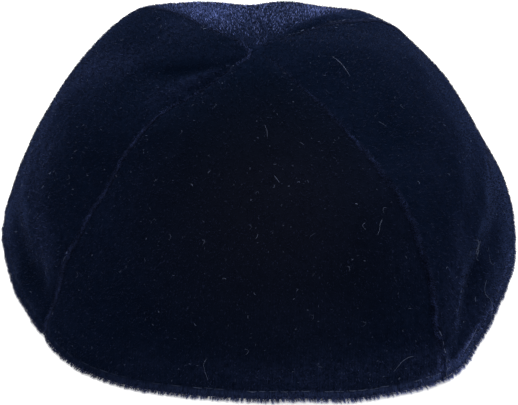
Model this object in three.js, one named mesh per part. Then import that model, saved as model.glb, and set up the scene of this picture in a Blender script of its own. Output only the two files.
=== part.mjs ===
import * as THREE from 'three';

/*
 * Velvet skullcap sewn from four gores, resting on its rim.
 * Millimetres, +Z up, the front gore faces -Y, and the origin is under the middle of the cap.
 *
 * A point of the cap is given by its azimuth (0 at the front, growing towards +X) and its climb
 * (0 at the rim, 90 at the crown), both in degrees and seen from the middle of the rim.
 */

const CROWN_HEIGHT = 70.6;
const WALL = 2.0;
const HEM_WALL = 3.2;
const EDGE_ROUND = 0.7;
const SEAM_DIP = 0.5;
const SEAM_GAP = 0.3;

// The cap slumps towards the front, which carries its crown off the middle of the rim.
const CROWN_LEAN = { x: -0.6, y: -6.4 };

const CLIMB_OF_RADII = 18;
const HEM_CLIMB = 5.4;
const CLIMBS = [
  0, 0.9, 2.4, 3.9, HEM_CLIMB, 6.6, 9, 12, 15, 18, 22, 26, 30, 35, 40, 45, 50, 56, 62, 67, 72, 77, 82, 86,
];
const COLUMNS = 20;
const EDGE_COLUMN = 0.035;

// The seams, with the outer radius in millimetres at climbs of 0, 18, 36, 54 and 72.
const SEAMS = {
  front_right: { azimuth: 35.0, radii: [87.5, 90.9, 87.7, 77.6, 71.7] },
  back_right: { azimuth: 134.3, radii: [88.3, 85.2, 83.1, 76.1, 71.5] },
  back_left: { azimuth: 228.2, radii: [87.3, 82.9, 80.2, 78.3, 72.6] },
  front_left: { azimuth: 311.7, radii: [75.9, 79.8, 74.8, 74.6, 68.2] },
};

// The gores between the seams, with the same radii up the middle of each.
const GORES = [
  { name: 'front_panel', from: 'front_left', to: 'front_right', radii: [84.0, 82.0, 79.8, 77.1, 74.0] },
  { name: 'right_panel', from: 'front_right', to: 'back_right', radii: [85.8, 80.0, 78.9, 77.1, 74.1] },
  { name: 'back_panel', from: 'back_right', to: 'back_left', radii: [84.4, 83.3, 81.5, 76.7, 73.2] },
  { name: 'left_panel', from: 'back_left', to: 'front_left', radii: [86.7, 80.8, 78.8, 75.0, 72.7] },
];

// Swells and dents: the middle, how far it spreads along and across its length, the turn of that
// length from level (all in degrees), and how far it stands out in millimetres.
const FOLDS = [
  { azimuth: -39.8, climb: 0.2, along: 24.8, across: 10.2, turn: 0, swell: 11.9 },
  { azimuth: 33.6, climb: -0.6, along: 20.1, across: 9.3, turn: 0, swell: 6.2 },
  { azimuth: 39.9, climb: -1.8, along: 6.0, across: 9.0, turn: 0, swell: 1.2 },
  { azimuth: -48.3, climb: 0.0, along: 6.0, across: 6.0, turn: 0, swell: 1.0 },
  { azimuth: -38.0, climb: 0.0, along: 7.0, across: 7.0, turn: 0, swell: 0.3 },
  { azimuth: 35.0, climb: 0.0, along: 5.0, across: 5.0, turn: 0, swell: 0.4 },
  { azimuth: 46.0, climb: 0.0, along: 6.0, across: 6.0, turn: 0, swell: -0.5 },
  { azimuth: 84.7, climb: 24.3, along: 16.0, across: 5.0, turn: 0, swell: 0.7 },
  { azimuth: 95.0, climb: 18.0, along: 10.0, across: 7.0, turn: 0, swell: 0.6 },
  { azimuth: 102.9, climb: 5.0, along: 12.3, across: 7.5, turn: 0, swell: 2.4 },
  { azimuth: -90.1, climb: 23.3, along: 14.5, across: 3.0, turn: 0, swell: 0.6 },
  { azimuth: -95.0, climb: 16.0, along: 9.0, across: 8.0, turn: 0, swell: 0.4 },
  { azimuth: 141.8, climb: 48.6, along: 8.1, across: 18.3, turn: 0, swell: 1.9 },
  { azimuth: -129.0, climb: 50.7, along: 21.8, across: 18.6, turn: 0, swell: 4.4 },
  { azimuth: 184.9, climb: 47.9, along: 9.4, across: 12.6, turn: 0, swell: -2.1 },
  { azimuth: -70.0, climb: 71.0, along: 20.0, across: 5.0, turn: 35, swell: -1.5 },
  { azimuth: -60.0, climb: 64.0, along: 7.0, across: 12.0, turn: 0, swell: 0.8 },
  { azimuth: -64.0, climb: 17.0, along: 14.0, across: 3.5, turn: -3, swell: 1.6 },
  { azimuth: -51.5, climb: 12.0, along: 5.0, across: 2.5, turn: -50, swell: 1.0 },
  { azimuth: -66.0, climb: 8.0, along: 18.0, across: 4.5, turn: -2, swell: -2.4 },
  { azimuth: 40.5, climb: 12.0, along: 9.0, across: 2.5, turn: 55, swell: 1.4 },
  { azimuth: 58.0, climb: 21.5, along: 14.0, across: 3.0, turn: 5, swell: 1.2 },
  { azimuth: 48.0, climb: 11.0, along: 9.0, across: 3.5, turn: 30, swell: -2.0 },
  { azimuth: 64.0, climb: 13.0, along: 14.0, across: 4.0, turn: 0, swell: -2.2 },
];

const VELVET = { color: 0x10182c, roughness: 0.95, metalness: 0 };

const radians = THREE.MathUtils.degToRad;

// Outer radius up one seam or gore: a Catmull-Rom curve through its radii and the crown.
function radiusAt(radii, climb) {
  const knots = [2 * radii[0] - radii[1], ...radii, CROWN_HEIGHT, radii.at(-1)];
  const place = Math.min(climb / CLIMB_OF_RADII, radii.length - 1e-9);
  const span = Math.floor(place);
  const [a, b, c, d] = knots.slice(span, span + 4);
  const t = place - span;
  return b + 0.5 * t * (c - a + t * (2 * a - 5 * b + 4 * c - d + t * (3 * (b - c) + d - a)));
}

// How far the folds push the cloth out at one place.
function foldsAt(azimuth, climb) {
  let swell = 0;
  for (const fold of FOLDS) {
    const turn = radians(fold.turn);
    const level = THREE.MathUtils.euclideanModulo(azimuth - fold.azimuth + 180, 360) - 180;
    const rise = climb - fold.climb;
    const along = (level * Math.cos(turn) + rise * Math.sin(turn)) / fold.along;
    const across = (rise * Math.cos(turn) - level * Math.sin(turn)) / fold.across;
    swell += fold.swell * Math.exp(-along * along - across * across);
  }
  return swell;
}

// A gore's two edges and spread. Its place across runs from -1 at one seam to 1 at the next.
function spanOf(gore) {
  const from = SEAMS[gore.from];
  const to = SEAMS[gore.to];
  const spread = THREE.MathUtils.euclideanModulo(to.azimuth - from.azimuth, 360) / 2;
  return { from, to, spread, middle: from.azimuth + spread };
}

function outerRadius(gore, across, climb) {
  const { from, to, spread, middle } = spanOf(gore);
  const edges = [radiusAt(from.radii, climb), radiusAt(to.radii, climb)];
  const mean = (edges[0] + edges[1]) / 2;
  const centre = radiusAt(gore.radii, climb);
  const bulge = centre + ((edges[1] - edges[0]) / 2) * across + (mean - centre) * across * across;
  return bulge + foldsAt(middle + spread * across, climb);
}

function pointAt(gore, across, climb, depth) {
  const { spread, middle } = spanOf(gore);
  const radius = outerRadius(gore, across, climb) - depth;
  const azimuth = radians(middle + spread * across);
  const level = radius * Math.cos(radians(climb));
  const lean = Math.sin(radians(climb)) ** 2;
  const clear = SEAM_GAP / 2 / Math.sin(radians(spread));
  return [
    level * Math.sin(azimuth) + lean * CROWN_LEAN.x + clear * Math.sin(radians(middle)),
    -level * Math.cos(azimuth) + lean * CROWN_LEAN.y - clear * Math.cos(radians(middle)),
    radius * Math.sin(radians(climb)),
  ];
}

// Places across a gore, with a narrow column at each seam where the cloth dips into the stitches.
function columnsAcross() {
  const inner = 1 - EDGE_COLUMN;
  const middle = Array.from({ length: COLUMNS + 1 }, (_, i) => inner * ((2 * i) / COLUMNS - 1));
  return [-1, ...middle, 1];
}

// One gore as a closed wall: every column goes up its outer face and down its inner face, and the
// columns meet in one point at the crown on each face.
function goreGeometry(gore) {
  const columns = columnsAcross();
  const rows = CLIMBS.length;
  const positions = [];
  for (const across of columns) {
    const dip = Math.abs(across) === 1 ? SEAM_DIP : 0;
    for (const climb of CLIMBS) {
      const depth = climb === 0 ? EDGE_ROUND : dip;
      positions.push(...pointAt(gore, across, climb, depth));
    }
    for (const climb of CLIMBS) {
      const wall = climb <= HEM_CLIMB ? HEM_WALL : WALL;
      const depth = climb === 0 ? wall - EDGE_ROUND : wall;
      positions.push(...pointAt(gore, across, climb, depth));
    }
  }
  const outerTip = positions.length / 3;
  const innerTip = outerTip + 1;
  positions.push(...pointAt(gore, 0, 90, 0), ...pointAt(gore, 0, 90, WALL));

  const faces = [];
  const quad = (a, b, c, d) => faces.push(a, b, c, a, c, d);
  const outer = (column, row) => column * 2 * rows + row;
  const inner = (column, row) => outer(column, row) + rows;
  const last = columns.length - 1;
  for (let i = 0; i < last; i += 1) {
    for (let j = 0; j < rows - 1; j += 1) {
      quad(outer(i, j), outer(i + 1, j), outer(i + 1, j + 1), outer(i, j + 1));
      quad(inner(i, j), inner(i, j + 1), inner(i + 1, j + 1), inner(i + 1, j));
    }
    quad(inner(i, 0), inner(i + 1, 0), outer(i + 1, 0), outer(i, 0));
    faces.push(outer(i, rows - 1), outer(i + 1, rows - 1), outerTip);
    faces.push(inner(i + 1, rows - 1), inner(i, rows - 1), innerTip);
  }
  for (let j = 0; j < rows - 1; j += 1) {
    quad(outer(0, j), outer(0, j + 1), inner(0, j + 1), inner(0, j));
    quad(outer(last, j), inner(last, j), inner(last, j + 1), outer(last, j + 1));
  }
  quad(outer(0, rows - 1), outerTip, innerTip, inner(0, rows - 1));
  quad(outer(last, rows - 1), inner(last, rows - 1), innerTip, outerTip);

  const geometry = new THREE.BufferGeometry();
  geometry.setAttribute('position', new THREE.Float32BufferAttribute(positions, 3));
  geometry.setIndex(faces);
  geometry.computeVertexNormals();
  return geometry;
}

function buildCap() {
  const cap = new THREE.Group();
  cap.name = 'skullcap';
  for (const gore of GORES) {
    const mesh = new THREE.Mesh(goreGeometry(gore), new THREE.MeshStandardMaterial(VELVET));
    mesh.name = gore.name;
    cap.add(mesh);
  }
  const middle = new THREE.Box3().setFromObject(cap).getCenter(new THREE.Vector3());
  for (const mesh of cap.children) mesh.geometry.translate(-middle.x, -middle.y, 0);
  return cap;
}

export default buildCap();
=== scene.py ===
"""A navy velvet skullcap sewn from four gores, set down on its rim.

Every point of the cloth is found from three numbers: its place across a gore (-1 at one seam, 1 at
the next), its climb in degrees (0 at the rim, 90 at the crown) and its depth under the outer form.
The form is worked out in millimetres about the middle of the rim, and put into meshes in metres.
"""

import logging
import math
from dataclasses import dataclass, field
from enum import Enum
from functools import cache

import bpy
import numpy as np
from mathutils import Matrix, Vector


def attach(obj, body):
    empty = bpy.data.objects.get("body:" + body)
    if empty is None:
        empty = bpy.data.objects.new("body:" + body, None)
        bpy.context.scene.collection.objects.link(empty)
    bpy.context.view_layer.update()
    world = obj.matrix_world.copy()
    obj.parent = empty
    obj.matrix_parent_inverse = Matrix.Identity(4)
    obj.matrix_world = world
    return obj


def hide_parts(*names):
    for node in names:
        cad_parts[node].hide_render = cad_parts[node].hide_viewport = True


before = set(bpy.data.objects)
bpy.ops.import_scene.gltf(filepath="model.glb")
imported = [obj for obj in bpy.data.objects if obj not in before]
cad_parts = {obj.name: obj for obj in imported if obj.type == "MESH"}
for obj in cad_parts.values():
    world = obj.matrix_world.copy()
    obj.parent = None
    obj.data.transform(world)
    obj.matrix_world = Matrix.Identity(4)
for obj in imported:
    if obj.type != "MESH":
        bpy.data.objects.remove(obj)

logging.basicConfig(level=logging.INFO, format="%(message)s")
log = logging.getLogger("skullcap")

MM = 0.001
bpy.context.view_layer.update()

# Degrees of climb between the radii of a seam or gore, and the climbs at which the painted
# highlight on a seam's pile is given.
KNOT_CLIMB = 18.0
PALENESS_CLIMBS = (0.0, 30.0, 60.0, 90.0)

# The cap's usual radius in millimetres, for lengths along the cloth that need no more than that.
USUAL_RADIUS = 82.0


class Seam(Enum):
    """The four seams, in order of azimuth."""

    FRONT_RIGHT = 0
    BACK_RIGHT = 1
    BACK_LEFT = 2
    FRONT_LEFT = 3


@dataclass(frozen=True)
class SeamLine:
    """A seam: its azimuth in degrees, the outer radii up it and how far the cloth rolls into it, in
    millimetres, and how pale the pile squeezed up along it is painted, a painted highlight, at
    climbs of 0, 30, 60 and 90."""

    azimuth: float
    radii: tuple[float, ...]
    roll: float
    paleness_and_highlight: tuple[float, ...]


@dataclass(frozen=True)
class GoreCut:
    """One gore: its name, the node that it stands for, its seams, the radii up its middle in
    millimetres, and the flat size of its cut in metres."""

    name: str
    node: str
    first: Seam
    second: Seam
    radii: tuple[float, ...]
    flat_width: float
    flat_length: float

    def piece(self, kind: str) -> str:
        """The name of one of the pieces on this gore."""
        return self.name.replace("velvet", kind)


@dataclass(frozen=True)
class Spot:
    """A soft-edged oval on the cap: middle, half-spreads and turn in degrees, and its amount."""

    azimuth: float
    climb: float
    along: float
    across: float
    turn: float
    amount: float


@dataclass(frozen=True)
class Ripple:
    """A sine along the cloth: its amount, its rate in radians per millimetre, and its share of the
    phase that a set of ripples is given."""

    amount: float
    rate: float
    turn: float


@dataclass(frozen=True)
class Wave:
    """A sine through space: its amount, its rates in radians per millimetre and its phase."""

    amount: float
    rate_x: float
    rate_y: float
    rate_z: float
    phase: float


@dataclass(frozen=True)
class RimMark:
    """The rim at one azimuth in degrees: how much painted highlight its hem, fringe and stitches
    get, and how much of its length the fringe has there."""

    azimuth: float
    paleness_and_highlight: float
    length: float


@dataclass(frozen=True)
class ThreadRun:
    """A stretch of seam where the thread shows: from and to which climb in degrees, how much of it
    shows, and the shade of its dimmest stitch."""

    seam: Seam
    low: float
    high: float
    share: float
    dimmest: float


SEAMS: dict[Seam, SeamLine] = {
    Seam.FRONT_RIGHT: SeamLine(35.0, (87.5, 90.9, 87.7, 77.6, 71.7), 0.15, (2.3, 0.85, 0.95, 0.8)),
    Seam.BACK_RIGHT: SeamLine(134.3, (88.3, 85.2, 83.1, 76.1, 71.5), 0.35, (0.5, 0.45, 0.5, 0.5)),
    Seam.BACK_LEFT: SeamLine(228.2, (87.3, 82.9, 80.2, 78.3, 72.6), 0.35, (0.5, 0.45, 0.45, 0.4)),
    Seam.FRONT_LEFT: SeamLine(311.7, (75.9, 79.8, 74.8, 74.6, 68.2), 0.40, (1.2, 1.05, 1.2, 0.7)),
}

GORES: tuple[GoreCut, ...] = (
    GoreCut("front_velvet", "front_panel", Seam.FRONT_LEFT, Seam.FRONT_RIGHT,
            (84.0, 82.0, 79.8, 77.1, 74.0), 0.145, 0.134),
    GoreCut("right_velvet", "right_panel", Seam.FRONT_RIGHT, Seam.BACK_RIGHT,
            (85.8, 80.0, 78.9, 77.1, 74.1), 0.167, 0.138),
    GoreCut("back_velvet", "back_panel", Seam.BACK_RIGHT, Seam.BACK_LEFT,
            (84.4, 83.3, 81.5, 76.7, 73.2), 0.154, 0.143),
    GoreCut("left_velvet", "left_panel", Seam.BACK_LEFT, Seam.FRONT_LEFT,
            (86.7, 80.8, 78.8, 75.0, 72.7), 0.141, 0.137),
)

# Swells and dents of the whole wall, in millimetres outwards.
FOLDS: tuple[Spot, ...] = (
    Spot(-39.8, 0.2, 24.8, 10.2, 0, 11.9),
    Spot(33.6, -0.6, 20.1, 9.3, 0, 6.2),
    Spot(39.9, -1.8, 6.0, 9.0, 0, 1.2),
    Spot(-48.3, 0.0, 6.0, 6.0, 0, 1.0),
    Spot(-38.0, 0.0, 7.0, 7.0, 0, 0.3),
    Spot(35.0, 0.0, 5.0, 5.0, 0, 0.4),
    Spot(46.0, 0.0, 6.0, 6.0, 0, -0.5),
    Spot(84.7, 24.3, 16.0, 5.0, 0, 0.7),
    Spot(95.0, 18.0, 10.0, 7.0, 0, 0.6),
    Spot(102.9, 5.0, 12.3, 7.5, 0, 2.4),
    Spot(-90.1, 23.3, 14.5, 3.0, 0, 0.6),
    Spot(-95.0, 16.0, 9.0, 8.0, 0, 0.4),
    Spot(141.8, 48.6, 8.1, 18.3, 0, 1.9),
    Spot(-129.0, 50.7, 21.8, 18.6, 0, 4.4),
    Spot(184.9, 47.9, 9.4, 12.6, 0, -2.1),
    Spot(-70.0, 71.0, 20.0, 5.0, 35, -1.5),
    Spot(-60.0, 64.0, 7.0, 12.0, 0, 0.8),
    Spot(-64.0, 17.0, 14.0, 3.5, -3, 1.6),
    Spot(-51.5, 12.0, 5.0, 2.5, -50, 1.0),
    Spot(-66.0, 8.0, 18.0, 4.5, -2, -2.4),
    Spot(40.5, 12.0, 9.0, 2.5, 55, 1.4),
    Spot(58.0, 21.5, 14.0, 3.0, 5, 1.2),
    Spot(48.0, 11.0, 9.0, 3.5, 30, -2.0),
    Spot(64.0, 13.0, 14.0, 4.0, 0, -2.2),
)

# Small creases of the velvet alone, in millimetres outwards.
CREASES: tuple[Spot, ...] = (
    Spot(-72.0, 70.5, 19.0, 5.0, 34, 0.6),
    Spot(-58.0, 67.0, 5.0, 12.0, 0, 0.6),
    Spot(-96.0, 58.0, 14.0, 4.0, 20, -0.4),
    Spot(-49.5, 22.0, 2.4, 1.2, 0, 0.5),
    Spot(-50.0, 19.2, 3.0, 1.5, 0, -0.5),
    Spot(-46.5, 17.5, 2.0, 3.0, 0, -0.3),
    Spot(37.5, 8.0, 2.0, 4.0, 0, -0.1),
    Spot(33.0, 5.0, 2.0, 3.0, 0, 0.3),
)

# Where each gore's colour is lifted or lowered: partly the nap, brushed up or laid, and partly
# painted highlights on crests, outlines, the rim, the seam feet and the back gore's grazing zone,
# and painted shade in hollows, in valleys, behind the back right seam and on the tops of the front
# and right gores.
NAP_AND_PAINTED_LIGHT: dict[str, tuple[Spot, ...]] = {
    "front_velvet": (
        Spot(-44.0, 8.0, 5.0, 6.0, 0, 0.010),
        Spot(0.0, 66.0, 60.0, 14.0, 0, -0.030),
        Spot(34.0, 1.6, 4.0, 1.3, 0, 0.220),
        Spot(34.8, 3.2, 0.9, 2.4, 0, 0.650),
        Spot(12.0, 1.2, 18.0, 1.1, 0, 0.100),
        Spot(16.0, 5.2, 34.0, 3.6, 0, 0.060),
        Spot(31.0, 21.0, 6.0, 14.0, 0, 0.016),
    ),
    "right_velvet": (
        Spot(42.8, 17.0, 9.0, 3.2, 50, 0.060),
        Spot(50.0, 24.0, 6.0, 4.0, 20, 0.020),
        Spot(50.0, 7.0, 20.0, 4.5, 0, 0.040),
        Spot(35.2, 3.2, 0.9, 2.6, 0, 0.650),
        Spot(38.0, 18.0, 5.0, 12.0, 0, 0.018),
        Spot(76.0, 68.0, 26.0, 12.0, 0, -0.009),
        Spot(38.5, 2.0, 4.5, 1.0, 0, 0.360),
        Spot(43.5, 3.2, 4.0, 0.45, 5, 0.500),
        Spot(52.0, 2.6, 9.0, 1.3, 0, 0.200),
        Spot(68.0, 3.0, 10.0, 1.5, 0, 0.200),
        Spot(85.0, 14.0, 8.0, 12.0, 0, 0.050),
    ),
    "back_velvet": (
        Spot(182.0, 70.0, 46.0, 17.0, 0, 0.17),
        Spot(-148.0, 66.0, 16.0, 8.0, 0, 0.60),
        Spot(150.0, 58.0, 9.0, 7.0, 0, 0.50),
        Spot(162.0, 74.0, 8.0, 3.0, 0, 0.18),
        Spot(137.0, 62.0, 6.0, 15.0, 0, -0.30),
        Spot(136.0, 48.0, 6.0, 10.0, 0, -0.20),
    ),
    "left_velvet": (
        Spot(-59.0, 17.6, 12.0, 3.2, -26, 0.070),
        Spot(-80.0, 26.0, 9.0, 8.0, 0, 0.050),
        Spot(-57.0, 68.0, 5.0, 12.0, 0, 0.045),
        Spot(-98.0, 48.0, 9.0, 13.0, 0, 0.060),
        Spot(-72.0, 70.5, 16.0, 5.0, 32, -0.020),
        Spot(-120.0, 67.0, 12.0, 5.0, 0, 0.040),
        Spot(-65.0, 8.0, 8.0, 4.0, 0, -0.030),
        Spot(-52.0, 31.0, 9.0, 9.0, 0, -0.006),
        Spot(-76.0, 3.5, 12.0, 2.5, 0, 0.030),
    ),
}

# The slow lumps of the cloth.
LUMPS: tuple[Wave, ...] = (
    Wave(1.0, 0.131, 0.210, 0.0, 0.7),
    Wave(1.0, -0.224, 0.097, 0.153, 2.1),
    Wave(0.7, 0.313, 0.0, -0.271, 4.0),
    Wave(0.5, 0.0, 0.402, 0.351, 1.1),
)

# How each seam strays, how the cloth puckers along the seams and the rim, and how the seams' pile
# comes and goes by its seed and by its side.
SEAM_STRAYS: tuple[Ripple, ...] = (Ripple(0.17, 0.29, 1.0), Ripple(0.06, 0.71, 2.0))
SEAM_PUCKERS: tuple[Ripple, ...] = (Ripple(1.0, 0.82, 1.3), Ripple(0.6, 1.37, 1.0))
RIM_PUCKERS: tuple[Ripple, ...] = (Ripple(1.0, 1.05, 0.0), Ripple(0.7, 0.63, 1.0))
SEED_BLOTCHES: tuple[Ripple, ...] = (Ripple(1.0, 0.55, 1.0), Ripple(1.0, 0.23, 1.3))
SIDE_BLOTCHES: tuple[Ripple, ...] = (Ripple(1.0, 1.31, 2.0),)

# How the rim's painted highlight and its fringe's length change on the way round.
RIM_MARKS: tuple[RimMark, ...] = (
    RimMark(-135.0, 0.35, 0.8),
    RimMark(-85.0, 0.18, 0.6),
    RimMark(-55.0, 0.13, 0.7),
    RimMark(-35.0, 0.12, 0.75),
    RimMark(-15.0, 0.33, 0.9),
    RimMark(0.0, 0.50, 1.0),
    RimMark(25.0, 0.60, 1.05),
    RimMark(36.0, 0.90, 1.0),
    RimMark(45.0, 0.54, 0.85),
    RimMark(65.0, 0.40, 0.65),
    RimMark(90.0, 0.40, 0.6),
    RimMark(135.0, 0.35, 0.8),
)

THREAD_RUNS: tuple[ThreadRun, ...] = (
    ThreadRun(Seam.BACK_RIGHT, 40.0, 82.0, 0.7, 0.1),
    ThreadRun(Seam.FRONT_RIGHT, 0.9, 12.0, 0.95, 0.6),
    ThreadRun(Seam.FRONT_LEFT, 17.0, 22.0, 0.6, 0.2),
)

# The curl of pile at the crown, as places on the gores that it crosses.
CROWN_CURL: tuple[tuple[str, float, float], ...] = (
    ("left_velvet", -125.9, 84.8),
    ("left_velvet", -87.3, 88.0),
    ("front_velvet", -26.4, 86.0),
    ("front_velvet", -40.3, 82.2),
)

# Stray hairs that stand out on each gore, each as the azimuths and climbs of two or three places.
CHARTED_LINT: dict[str, tuple[tuple[float, ...], ...]] = {
    "right_velvet": (
        (75.3, 71.7, 63.5, 65.7),
        (46.2, 3.9, 43.7, 3.5, 40.8, 3.1),
        (55.3, 9.2, 53.0, 8.0, 53.4, 6.2),
        (53.4, 6.2, 54.2, 3.4, 52.4, 0.6),
        (52.4, 20.8, 54.2, 19.0, 52.8, 17.2),
        (56.1, 16.0, 54.9, 14.8, 55.8, 13.4),
        (61.1, 11.6, 59.8, 10.6, 60.6, 9.4),
        (55.5, 19.0, 55.0, 17.0, 55.5, 15.3),
        (63.9, 52.4, 63.0, 52.6, 62.8, 51.4),
        (49.7, 19.8, 48.9, 19.5, 49.1, 18.7),
    ),
    "front_velvet": (
        (3.2, 60.3, 3.8, 56.7),
        (-10.3, 8.7, -10.8, 6.7, -9.8, 4.3),
        (29.3, 7.0, 27.2, 6.7, 25.1, 5.0),
        (28.8, 34.7, 26.7, 32.0),
        (30.9, 36.3, 30.0, 36.5, 29.8, 35.4),
        (25.0, 34.8, 24.0, 34.5, 24.4, 33.6),
        (-2.4, 37.2, -1.6, 36.9, -2.2, 36.1),
        (10.1, 18.8, 11.0, 18.4, 10.4, 17.6),
        (20.0, 16.2, 20.9, 15.8, 20.3, 15.0),
        (18.5, 27.5, 19.3, 27.2, 18.9, 26.5),
        (-13.8, 33.2, -13.0, 33.0, -13.3, 32.2),
        (-22.8, 32.8, -21.9, 32.4, -22.3, 31.6),
        (-23.4, 65.4, -22.0, 65.0, -22.8, 64.1),
        (-31.8, 56.2, -30.6, 55.8, -31.2, 55.0),
        (-44.0, 16.8, -43.2, 16.4, -43.6, 15.6),
        (-2.9, 11.5, -2.0, 11.2, -2.5, 10.4),
        (11.7, 8.6, 11.2, 8.0, 12.4, 7.5),
        (-2.1, 2.9, -1.4, 2.2, -0.6, 2.7),
        (4.4, 2.6, 5.3, 2.0, 5.6, 0.8),
    ),
    "left_velvet": (
        (-61.8, 32.8, -60.9, 32.4, -61.4, 31.6),
    ),
}


def gore_named(name: str) -> GoreCut:
    """The gore that has a name."""
    return next(gore for gore in GORES if gore.name == name)


def rippled(ripples: tuple[Ripple, ...], run: np.ndarray,
            phase: float | np.ndarray = 1.0) -> np.ndarray:
    """Sum of ripples along a run of cloth, each its amount times sin(rate * run + turn * phase)."""
    return sum(ripple.amount * np.sin(ripple.rate * run + ripple.turn * phase)
               for ripple in ripples)


def along_rim(azimuth: np.ndarray, column: str) -> np.ndarray:
    """A column of the rim's marks at azimuths in degrees, straight from one mark to the next."""
    turns = [mark.azimuth for mark in RIM_MARKS]
    return np.interp(azimuth, turns, [getattr(mark, column) for mark in RIM_MARKS], period=360.0)


def unit(vectors: np.ndarray) -> np.ndarray:
    """Vectors made one long."""
    return vectors / np.maximum(np.linalg.norm(vectors, axis=-1, keepdims=True), 1e-12)


def cell_shade(points: np.ndarray, size: float) -> np.ndarray:
    """A shade from 0 to 1 that points in one cell of space share: the rest of a large sine."""
    return np.sin(np.floor(points / size) @ np.array([12.99, 78.23, 37.72])) * 43758.5 % 1.0


def climb_at(share: np.ndarray) -> np.ndarray:
    """The climb in degrees of points that lie a share of their radius above the rim."""
    return np.degrees(np.arcsin(share))


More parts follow.
